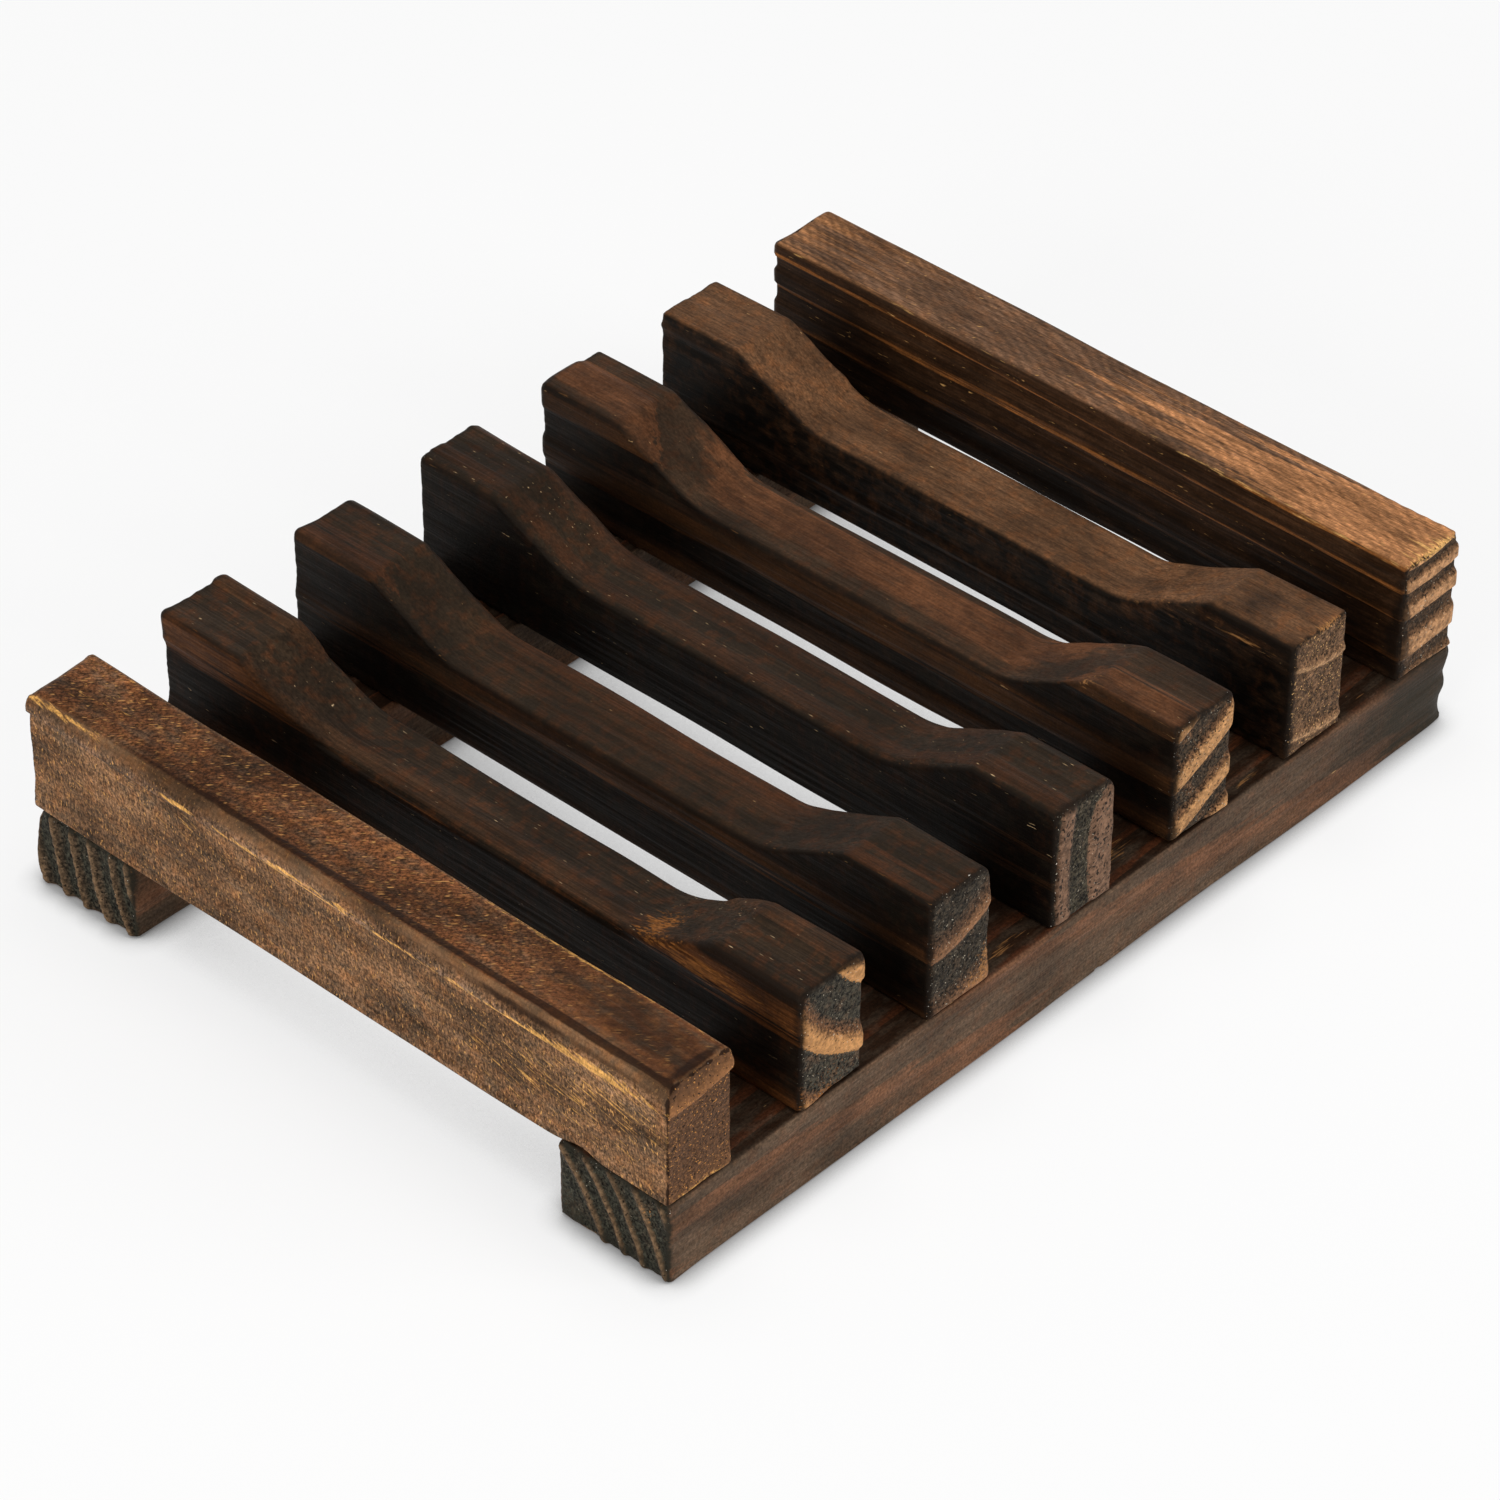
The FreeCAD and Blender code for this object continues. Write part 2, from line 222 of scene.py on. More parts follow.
    mesh = bpy.data.meshes.new(node + "_wood")
    mesh.vertices.add(len(points))
    mesh.vertices.foreach_set("co", (points * MM).ravel())
    mesh.loops.add(quads.size)
    mesh.loops.foreach_set("vertex_index", quads.ravel())
    mesh.polygons.add(len(quads))
    mesh.polygons.foreach_set("loop_start", np.arange(0, quads.size, 4))
    mesh.update(calc_edges=True)
    mesh.polygons.foreach_set("use_smooth", np.ones(len(quads), dtype=bool))
    kept = {"ring": ring, "end_grain": end_grain, "facing_up": facing_up, "edge_mm": edge,
            "end_rim_mm": end_rim, "long_edge_mm": long_edge, "saw_mark": saw_mark, "wear_soot_and_shade": wear_soot_and_shade,
            "rubbed": rubbed}
    for name, values in kept.items():
        mesh.attributes.new(name, "FLOAT", "POINT").data.foreach_set("value", values.astype(np.float32))
    board = bpy.data.objects.new(node + "_wood", mesh)
    bpy.context.scene.collection.objects.link(board)
    return board


def paint(red, green, blue):
    """A colour as the eye reads it, 0 to 255, as the linear colour a shader takes."""
    seen = np.array([red, green, blue]) / 255
    return (*np.where(seen <= 0.04045, seen / 12.92, ((seen + 0.055) / 1.055) ** 2.4), 1.0)


def add(tree, kind, sockets, **properties):
    """Adds a shader node and sets its properties. A socket is given a value or another node's output."""
    made = tree.nodes.new("ShaderNode" + kind)
    for name, value in properties.items():
        setattr(made, name, value)
    for key, value in sockets.items():
        if isinstance(value, bpy.types.NodeSocket):
            tree.links.new(value, made.inputs[key])
        else:
            made.inputs[key].default_value = value
    return made


def maths(tree, operation, first, second=0.0):
    """One sum of two numbers or sockets."""
    return add(tree, "Math", {0: first, 1: second}, operation=operation).outputs[0]


def spread(tree, value, start, end, low=0.0, high=1.0):
    """Maps start..end onto low..high and stops at both ends."""
    sockets = {"Value": value, "From Min": start, "From Max": end, "To Min": low, "To Max": high}
    return add(tree, "MapRange", sockets).outputs[0]


def blend(tree, share, first, second, way="MIX"):
    """Mixes two colours, or multiplies the first by the second."""
    return add(tree, "Mix", {0: share, 6: first, 7: second}, data_type="RGBA", blend_type=way).outputs[2]


def colour_line(tree, value, stops):
    """Colours along a line from 0 to 1, each stop a place and a colour."""
    ramp = add(tree, "ValToRGB", {"Fac": value})
    elements = ramp.color_ramp.elements
    while len(elements) < len(stops):
        elements.new(1.0)
    for element, (place, colour) in zip(elements, stops):
        element.position, element.color = place, colour
    return ramp.outputs["Color"]


# The glint white is the colour of painted highlights: white dots painted at the end rims to stand for glints
# of the wax.
PORE_BLACK, PAINTED_GLINT_WHITE = (16, 12, 9), (232, 224, 210)
WAX_SHINE, FIBRE_DEPTH = 0.07, 0.2


def charred_wood(name, grain, wood, looks, seed):
    """Charred softwood, brushed and waxed. On end grain each ring goes from black, gritty char through
    red-brown to bare tan and breaks off sharply. The sides do so in darker browns, and the top has colours
    of its own. Over them lie mottling, fibres, brush strokes, pale flecks, pale specks on the end grain that
    are partly painted glints, white painted glints at the end rims, edges darkened by char and by painted
    shade, and worn places and dark places of the board, the dark ones partly char and partly painted shade."""
    material = bpy.data.materials.new(name)
    material.use_nodes = True
    tree = material.node_tree
    shader = tree.nodes["Principled BSDF"]
    place = add(tree, "TexCoord", {}).outputs["Object"]

    def grained(width, length, detail, roughness=0.55, turn=(0.0, 0.0, 0.0), curl=0.0):
        """Noise drawn out along the grain: width across it and length along it, turned by degrees about x,
        y and z, and curled. Each one starts from a place of its own."""
        cell = [width * MM] * 3
        cell[grain] = length * MM
        start = 0.05 * seed + 0.013 * len(tree.nodes)
        moves = {"Vector": place, "Scale": cell, "Rotation": np.radians(turn),
                 "Location": (start, -start, start)}
        moved = add(tree, "Mapping", moves, vector_type="TEXTURE").outputs[0]
        sockets = {"Vector": moved, "Scale": 1.0, "Detail": detail, "Roughness": roughness,
                   "Distortion": curl}
        return add(tree, "TexNoise", sockets).outputs["Fac"]

    def measure(kept):
        """A value kept at the board's points."""
        return add(tree, "Attribute", {}, attribute_name=kept).outputs["Fac"]

    def times(first, second):
        """The product of two masks."""
        return maths(tree, "MULTIPLY", first, second)

    fibre = grained(0.25, 9.0, 3.0, 0.6)
    streak = grained(1.0, 45.0, 3.0, 0.6)
    cloud = grained(4.0, 12.0, 2.0, 0.5)
    mottle = grained(1.3, 3.6, 3.0, 0.6)
    blotch = grained(1.5, 1.5, 2.0, 0.6)
    check = grained(0.55, 0.55, 2.0, 0.6)
    grit = grained(0.32, 0.32, 2.0, 0.7)
    ring, edge, wear_soot_and_shade, end_rim = (measure(kept) for kept in ("ring", "edge_mm", "wear_soot_and_shade", "end_rim_mm"))
    at_end = spread(tree, measure("end_grain"), 0.5, 0.85)
    at_top = spread(tree, measure("facing_up"), *looks["top_from"])
    rough = spread(tree, measure("rubbed"), 0.2, 0.8, 1.0, 0.3)
    side_turn, top_turn = looks["stroke_turns"]
    stroke = spread(tree, at_top, 0.0, 1.0, grained(0.24, 0.9, 2.0, 0.6, side_turn, 0.8),
                    grained(0.2, 0.8, 2.0, 0.6, top_turn, 0.3))
    scuff = grained(0.28, 3.2, 2.0, 0.6, looks["scuff_turn"])
    soft_end, late_start = wood["late"]

    def ring_colours(value, colours, late, last):
        """Soft, middle and late wood along a ring, which hardens over the span late and breaks off from last
        on."""
        soft, half_way, hard = (paint(*colour) for colour in colours)
        return colour_line(tree, value, [(0.0, soft), (late[0], soft), ((late[0] + late[1]) / 2, half_way),
                                         (late[1], hard), (last, hard), (1.0, soft)])

    def varied(base, noise, depth, start=0.35, end=0.65):
        """A colour made darker and lighter by a noise, depth being its share either way."""
        return blend(tree, 1.0, base, spread(tree, noise, start, end, 1 - depth, 1 + depth), "MULTIPLY")

    part = maths(tree, "FRACT", maths(tree, "ADD", ring, spread(tree, grit, 0.3, 0.7, -0.03, 0.03)))
    end_colour = ring_colours(part, looks["end"], wood["late"], looks["end_last"])
    blotched = spread(tree, blotch, 0.5, 0.7, 0.0, looks["blotch"])
    end_colour = blend(tree, blotched, end_colour, paint(*looks["end"][1]))
    end_colour = varied(end_colour, check, looks["broken"])
    dust = spread(tree, rough, 0.0, 1.0, 0.5, grit)
    gritty = spread(tree, dust, 0.36, 0.64, 1 - looks["grit"], 1 + looks["grit"])
    calm = spread(tree, dust, 0.36, 0.64, 0.82, 1.18)
    speckled = spread(tree, part, soft_end, late_start, gritty, calm)
    end_colour = blend(tree, 1.0, end_colour, speckled, "MULTIPLY")
    pore = grained(0.3, 0.3, 0.0)
    pore_share = spread(tree, pore, looks["pores_from"], looks["pores_from"] + 0.05, 0.0, 0.9)
    end_colour = blend(tree, pore_share, end_colour, paint(*PORE_BLACK))

    side_part = maths(tree, "FRACT", maths(tree, "ADD", ring, spread(tree, streak, 0.3, 0.7, -0.14, 0.14)))
    side_colour = ring_colours(side_part, looks["side"], looks.get("side_late", wood["late"]), 0.96)
    top_colour = ring_colours(side_part, looks["top"], wood["late"], 0.96)
    face_colour = blend(tree, at_top, side_colour, top_colour)
    mottled = spread(tree, mottle, 0.45, 0.65, 0.0, looks["mottle"])
    face_colour = blend(tree, mottled, face_colour, paint(*looks["patch"]))
    side_warmth, top_warmth = looks["warmth"]
    warmth = spread(tree, at_top, 0.0, 1.0, side_warmth, top_warmth)
    warmed = spread(tree, blotch, 0.48, 0.68, 0.0, warmth)
    face_colour = blend(tree, warmed, face_colour, paint(*looks["warm"]))
    nap = spread(tree, rough, 0.0, 1.0, 0.5, stroke)
    for noise, kind in ((cloud, "cloud"), (fibre, "fibre"), (nap, "nap"), (dust, "dust")):
        face_colour = varied(face_colour, noise, looks[kind])
    face_colour = varied(face_colour, measure("saw_mark"), looks["sawn"], -0.6, 0.6)
    side_length, top_length = looks["fleck_lengths"]
    fleck = spread(tree, at_top, 0.0, 1.0, grained(0.18, side_length, 0.0, 0.5, side_turn, 0.8),
                   grained(0.17, top_length, 0.0, 0.5, top_turn))
    side_fleck, top_fleck = looks["flecks_from"]
    fleck_from = spread(tree, at_top, 0.0, 1.0, side_fleck, top_fleck)
    fleck_share = spread(tree, maths(tree, "SUBTRACT", fleck, fleck_from), 0.0, 0.1, 0.0, times(rough, 0.8))
    face_colour = blend(tree, fleck_share, face_colour, paint(*looks["fleck"]))

    # The spots lighten or darken the colour by up to a fifth. The dark ones are partly painted shade.
    colour = varied(blend(tree, at_end, face_colour, end_colour), wear_soot_and_shade, 0.2, -0.4, 0.4)
    # Darkened edges, partly char and partly painted shade. The end rim darkens each end along its top edge,
    # which is char, and along its first side, which is painted shade of the gap beside that side. The long
    # edge darkens the top arris on the first side, with char and with painted shade of that gap.
    rough_edge = spread(tree, blotch, 0.35, 0.65, -0.25, 0.25)
    soot_and_shade = paint(*looks["soot_and_shade"])
    singed_and_shaded_edges = (end_rim, looks["rim"], 0.9), (measure("long_edge_mm"), 0.7, looks["long_edge_char_and_shade"])
    for rim, reach, share in singed_and_shaded_edges:
        singed = spread(tree, maths(tree, "ADD", rim, rough_edge), 0.25 * reach, reach, share, 0.0)
        colour = blend(tree, singed, colour, soot_and_shade)
    # Spots of negative strength darken towards the char-black colour. Some are char, and some are painted
    # shade along the slats' -X arrises and end edges.
    soot_and_shade_spots = maths(tree, "ADD", wear_soot_and_shade, spread(tree, mottle, 0.3, 0.7, -0.2, 0.2))
    colour = blend(tree, spread(tree, soot_and_shade_spots, -0.6, -0.25, 0.8, 0.0), colour, soot_and_shade)
    worn = maths(tree, "ADD", wear_soot_and_shade, spread(tree, scuff, 0.3, 0.7, -0.5, 0.5))
    worn = maths(tree, "ADD", worn, spread(tree, edge, 0.1, 0.6, looks["edge_wear"], 0.0))
    bare = varied(varied(paint(*looks["worn"]), stroke, 0.45), fibre, 0.2)
    colour = blend(tree, spread(tree, worn, 0.5, 0.9, 0.0, 0.8), colour, bare)
    # Pale specks on the end grain: partly pale grit, and partly painted glints of the wax.
    speck_and_glint, speck_and_glint_from = grained(0.18, 0.18, 0.0), looks["speck_and_glint_from"]
    speck_and_glint_share = spread(tree, speck_and_glint, speck_and_glint_from, speck_and_glint_from + 0.06, 0.0, times(at_end, 0.9))
    colour = blend(tree, speck_and_glint_share, colour, paint(*looks["speck_and_glint"]))
    # Painted highlights: a few white glints painted into the colour close to the end rims.
    painted_glint_spots = spread(tree, speck_and_glint, 0.13, 0.17, 0.9, 0.0)
    painted_glint_share = times(painted_glint_spots, spread(tree, end_rim, 0.3, 0.8, 1.0, 0.0))
    colour = blend(tree, painted_glint_share, colour, paint(*PAINTED_GLINT_WHITE))
    tree.links.new(colour, shader.inputs["Base Color"])

    tree.links.new(spread(tree, fibre, 0.3, 0.7, 0.62, 0.45), shader.inputs["Roughness"])
    shader.inputs["Specular IOR Level"].default_value = WAX_SHINE
    shader.inputs["Specular Tint"].default_value = paint(*looks["sheen"])
    fibre_height = times(fibre, 0.5)
    grit_height = times(grit, spread(tree, at_end, 0.0, 1.0, 0.25, 0.7))
    height = maths(tree, "ADD", fibre_height, grit_height)
    bump = add(tree, "Bump", {"Height": height, "Strength": 0.6, "Distance": FIBRE_DEPTH * MM})
    tree.links.new(bump.outputs[0], shader.inputs["Normal"])
    return material


slat_nodes = ["front_end_slat", *(f"dished_slat_{n}" for n in range(1, 6)), "rear_end_slat"]
slat_middles = [(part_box(node)[0].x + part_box(node)[1].x) / 2 / MM for node in slat_nodes]
ALONG_GRAIN = (0.0, 0.0, 0.0)

# A board's wood says where its pith and its ring ends lie and where it is worn or darkened, rubbed, bent or
# dented, each spot with a middle, half sizes and a strength; the darkened spots, of negative strength, are
# partly char and partly painted shade. Its looks give soft, middle and late wood their colours at the end,
# side and top, each marking its strength as a share, and flecks the noise level they begin from.
charred_looks = {
    "mottle": 0.5, "cloud": 0.3, "fibre": 0.25, "nap": 0.12, "dust": 0.18, "sawn": 0.0,
    "stroke_turns": (ALONG_GRAIN, ALONG_GRAIN), "scuff_turn": ALONG_GRAIN, "top_from": (0.6, 0.9),
    "fleck": (206, 164, 112), "flecks_from": (0.84, 0.82), "fleck_lengths": (1.2, 1.1),
    "warm": (66, 37, 19), "warmth": (0.15, 0.5), "sheen": (255, 236, 214),
    "grit": 1.0, "blotch": 0.3, "broken": 0.2, "pores_from": 0.72, "end_last": 0.985,
    "speck_and_glint": (190, 180, 160), "speck_and_glint_from": 0.78,
    "soot_and_shade": (20, 14, 10), "rim": 0.9, "long_edge_char_and_shade": 0.45, "worn": (160, 112, 66), "edge_wear": 0.1,
}
rail_looks = {
    **charred_looks, "end": ((40, 39, 32), (62, 50, 38), (104, 82, 60)), "broken": 0.45, "blotch": 0.4,
    "side": ((86, 68, 53), (94, 69, 51), (108, 75, 54)), "top": ((35, 21, 12), (43, 25, 14), (62, 33, 18)),
    "patch": (68, 57, 46), "warm": (98, 63, 42), "warmth": (0.3, 0.0), "fibre": 0.15, "dust": 0.35,
    "rim": 0.7, "long_edge_char_and_shade": 0.0, "end_last": 0.9, "soot_and_shade": (34, 33, 27), "flecks_from": (0.88, 0.86),
    "speck_and_glint_from": 0.84,
}
rail_woods = {
    "left_rail": {
        "pith": (-23.5, 10.8), "ring_ends": (21.5, 24.9, 27.0, 30.0, 32.7, 35.7, 38.7, 42.0),
        "drift": 0.02, "waver": 0.18, "late": (0.5, 0.82), "relief": (0.22, 0.5),
        "arris": (0.4, 0.4, 0.6, 1.2), "dents": [((-57.5, 14.0, 9.3), (2.5, 1.0, 1.4), 0.8)]},
    "right_rail": {
        "pith": (25.6, -5.2), "ring_ends": (15.9, 18.7, 21.15, 23.45, 26.1, 28.9, 31.9, 34.9, 37.9, 41.0),
        "drift": 0.05, "waver": 0.15, "late": (0.52, 0.82), "relief": (0.08, 0.3),
        "arris": (0.25, 0.6, 0.6, 0.5),
        "wear_soot_and_shade": [((-57.5, 9.7, 0.2), (0.6, 1.0, 0.6), 1.0), ((-57.5, 8.0, 0.5), (1.5, 9.0, 1.8), -0.5),
                 ((-57.5, 2.9, 7.2), (0.6, 1.1, 1.1), 0.45), ((57.5, 0.0, 5.0), (16.0, 3.0, 9.0), -0.8),
                 ((45.0, 1.7, 9.3), (3.0, 0.5, 0.5), 0.8), ((27.0, 1.3, 9.3), (2.5, 0.4, 0.5), 0.65),
                 ((8.0, 3.6, 9.3), (3.0, 1.3, 0.5), 0.6), ((-9.0, 2.0, 9.3), (2.5, 0.6, 0.5), 0.7)],
        "dents": [((3.0, 0.0, 0.6), (0.25, 0.5, 0.9), 0.35), ((57.5, 1.0, 1.9), (1.4, 7.0, 1.9), 0.6),
                  ((57.5, 1.0, 6.2), (1.4, 5.0, 1.1), 0.3)]},
}
for seed, (node, wood) in enumerate(rail_woods.items()):
    rail = brushed_board(node, ALONG_X, wood, 10 + 7 * seed, pockets=slat_middles)
    rail.data.materials.append(charred_wood(node + "_charred", ALONG_X, wood, rail_looks, 1 + seed))
    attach(rail, "root")
    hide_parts(node)

# End slats: plain softwood slats set on edge across the rails' ends, nailed from below through the rails.
# They are paler than the others and less brushed, with slanting saw marks on their tops. A ring ends as a
# proud lip along the front one's face, and four late rings stand out at the rear one's ends.
end_slats = {
    "front_end_slat": (
        {"pith": (0.5, 55.6), "ring_ends": (34.0, 40.0, 45.0, 62.0, 70.0), "drift": 0.011, "waver": 0.12,
         "late": (0.45, 0.9), "relief": (0.45, 0.35), "arris": (0.25, 0.3, 1.5, 0.8),
         "end_ease": (0.45, 1.2), "saw": (1.1, 45.0, 0.015),
         "rubbed": [((0.35, 0.0, 13.4), (1.0, 90.0, 1.0), 1.0), ((5.0, -36.0, 14.1), (7.0, 14.0, 1.5), 1.0),
                    ((4.5, -42.5, 12.0), (6.0, 1.2, 1.3), 0.9)],
         "wear_soot_and_shade": [((0.2, 41.0, 13.6), (0.5, 9.0, 0.35), 0.8), ((0.0, 22.0, 8.5), (2.0, 7.0, 2.5), 0.3),
                  ((0.0, -27.0, 6.0), (2.0, 14.0, 4.0), 0.4), ((0.0, -37.0, 9.0), (2.0, 7.0, 2.5), 0.3),
                  ((0.0, 30.0, 12.1), (1.0, 4.0, 0.15), 0.7), ((0.0, 21.0, 11.95), (1.0, 3.0, 0.2), 1.1),
                  ((0.0, 14.0, 11.85), (1.0, 4.0, 0.15), 0.95), ((0.0, 8.0, 11.65), (1.0, 4.0, 0.15), 1.25),
                  ((0.0, 6.0, 12.05), (1.0, 4.0, 0.14), 1.15), ((0.0, 1.0, 11.6), (1.0, 4.0, 0.15), 1.2),
                  ((0.0, -2.0, 11.95), (1.0, 4.0, 0.14), 1.0), ((0.0, -7.0, 11.5), (1.0, 3.0, 0.22), 1.0),
                  ((0.0, -16.0, 11.45), (1.0, 4.0, 0.2), 0.7), ((0.0, -24.0, 11.4), (1.0, 4.0, 0.3), 0.85),
                  ((0.0, -33.0, 11.5), (1.0, 7.0, 0.6), 1.1), ((0.0, -28.0, 12.8), (1.0, 16.0, 0.5), -0.6),
                  ((0.0, 36.0, 8.0), (2.0, 6.0, 4.0), 0.15), ((5.0, 36.0, 14.1), (6.0, 6.0, 1.0), 0.2),
                  ((4.3, -42.5, 0.3), (4.0, 0.8, 0.5), 0.7),
                  ((8.3, -25.0, 14.0), (0.35, 15.0, 0.8), 0.9), ((1.15, -8.0, 14.0), (0.38, 32.0, 0.8), -1.3),
                  ((1.15, -33.0, 14.0), (0.38, 8.0, 0.8), -0.9), ((5.0, -41.3, 14.1), (3.6, 0.42, 0.8), -1.1),
                  ((0.0, 6.0, 4.5), (2.0, 8.0, 3.5), -0.3), ((5.0, -31.0, 14.1), (5.0, 9.0, 1.0), -0.2)],
         "dents": [((0.0, -31.2, 0.0), (0.8, 1.8, 0.6), 0.5)]},
        {**charred_looks, "end": ((86, 60, 42), (108, 74, 48), (146, 99, 62)), "grit": 0.5,
         "side": ((106, 77, 53), (102, 74, 52), (98, 76, 60)),
         "top": ((90, 55, 33), (94, 58, 35), (100, 62, 37)), "top_from": (0.82, 0.95),
         "patch": (72, 60, 47), "mottle": 0.6, "warm": (130, 82, 44), "warmth": (0.35, 0.35), "cloud": 0.5,
         "fibre": 0.15, "nap": 0.5, "dust": 0.62, "sawn": 0.1,
         "stroke_turns": ((80.0, 0.0, 0.0), (0.0, 0.0, 42.0)), "scuff_turn": (14.0, 0.0, 0.0),
         "rim": 0.35, "long_edge_char_and_shade": 0.0, "soot_and_shade": (26, 12, 7), "worn": (218, 162, 88),
         "fleck": (206, 152, 90), "flecks_from": (0.7, 0.71), "fleck_lengths": (0.5, 0.9),
         "speck_and_glint": (196, 136, 74), "speck_and_glint_from": 0.72}),
    "rear_end_slat": (
        {"pith": (3.0, 60.0), "ring_ends": (40.0, 43.4, 46.6, 49.3, 52.75, 57.6, 62.5, 67.0), "drift": 0.02,
         "waver": 0.1, "late": (0.3, 0.52), "relief": (0.25, 0.35), "arris": (0.3, 0.3, 0.7, 0.6),
         "saw": (1.0, -28.0, 0.03),
         "wear_soot_and_shade": [((4.3, -41.5, 14.1), (5.0, 1.8, 0.8), 0.5), ((0.0, -25.0, 13.9), (0.5, 16.0, 0.4), 0.4),
                  # The negative spot at the end's -X edge is painted shade of the gap beside it. The long one
                  # low on the -X side makes that side darker towards the bottom.
                  ((5.5, -42.4, 14.0), (3.5, 0.6, 0.4), 0.5), ((0.0, -42.5, 6.0), (0.9, 1.4, 6.5), -1.0),
                  ((0.0, -5.0, 2.5), (1.5, 70.0, 4.5), -0.6)]},
        # The side colours are partly painted shade: the dark of the gap beside the slat's -X side.
        {**charred_looks, "end": ((58, 44, 32), (100, 72, 50), (168, 125, 87)), "grit": 0.6, "broken": 0.4,
         "blotch": 0.45, "side": ((46, 28, 15), (64, 38, 19), (140, 86, 42)), "side_late": (0.72, 0.9),
         "top": ((104, 76, 56), (136, 94, 61), (172, 119, 78)), "patch": (70, 48, 32), "mottle": 0.35,
         "warm": (132, 84, 48), "warmth": (0.0, 0.25), "fibre": 0.4, "nap": 0.2, "sawn": 0.14,
         "stroke_turns": (ALONG_GRAIN, (0.0, 0.0, 28.0)), "rim": 0.25, "long_edge_char_and_shade": 0.2,
         "fleck": (226, 172, 104), "flecks_from": (0.8, 0.8), "edge_wear": 0.2, "worn": (222, 172, 104)}),
}
for seed, (node, (wood, looks)) in enumerate(end_slats.items()):
    slat = brushed_board(node, ALONG_Y, wood, 30 + 7 * seed)
    slat.data.materials.append(charred_wood(node + "_charred", ALONG_Y, wood, looks, 3 + seed))
    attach(slat, "root")
    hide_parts(node)

# Dished slats: five softwood slats on edge between the end ones, nailed from below. Each has a shallow hollow
# sawn in its top, a ramp down from each shoulder to a level floor, with the creases sanded round.
SHOULDER, RAMP, HOLLOW_DEPTH = 11.0, 10.5, 5.2
SHOULDER_BEND, FLOOR_BEND = 1.6, 12.0
FOOT, DRAWN_DOWN = 1.0, 9.5


def scoop(from_end, height):
    """How far the hollow lowers a point. Its slope along the slat rises over the shoulder's bend, holds
    down the ramp and falls to nothing over the floor's bend. The top keeps its arrises, and the wood below
    is drawn down with it, less and less towards the foot."""
    tilt = np.arctan2(HOLLOW_DEPTH, RAMP)
    reach = np.tan(tilt / 2) * np.array([SHOULDER_BEND, FLOOR_BEND])
    starts = SHOULDER - reach[0], SHOULDER + RAMP - reach[1] * np.cos(tilt)
    ends = SHOULDER + reach[0] * np.cos(tilt), SHOULDER + RAMP + reach[1]
    slopes = [0.5 * np.clip(from_end - a, 0, b - a) ** 2 / (b - a) + np.maximum(from_end - b, 0)
              for a, b in zip(starts, ends)]
    whole = (starts[1] + ends[1] - starts[0] - ends[0]) / 2
    share = np.clip((height - FOOT) / DRAWN_DOWN, 0, 1)
    return HOLLOW_DEPTH * (slopes[0] - slopes[1]) / whole * share
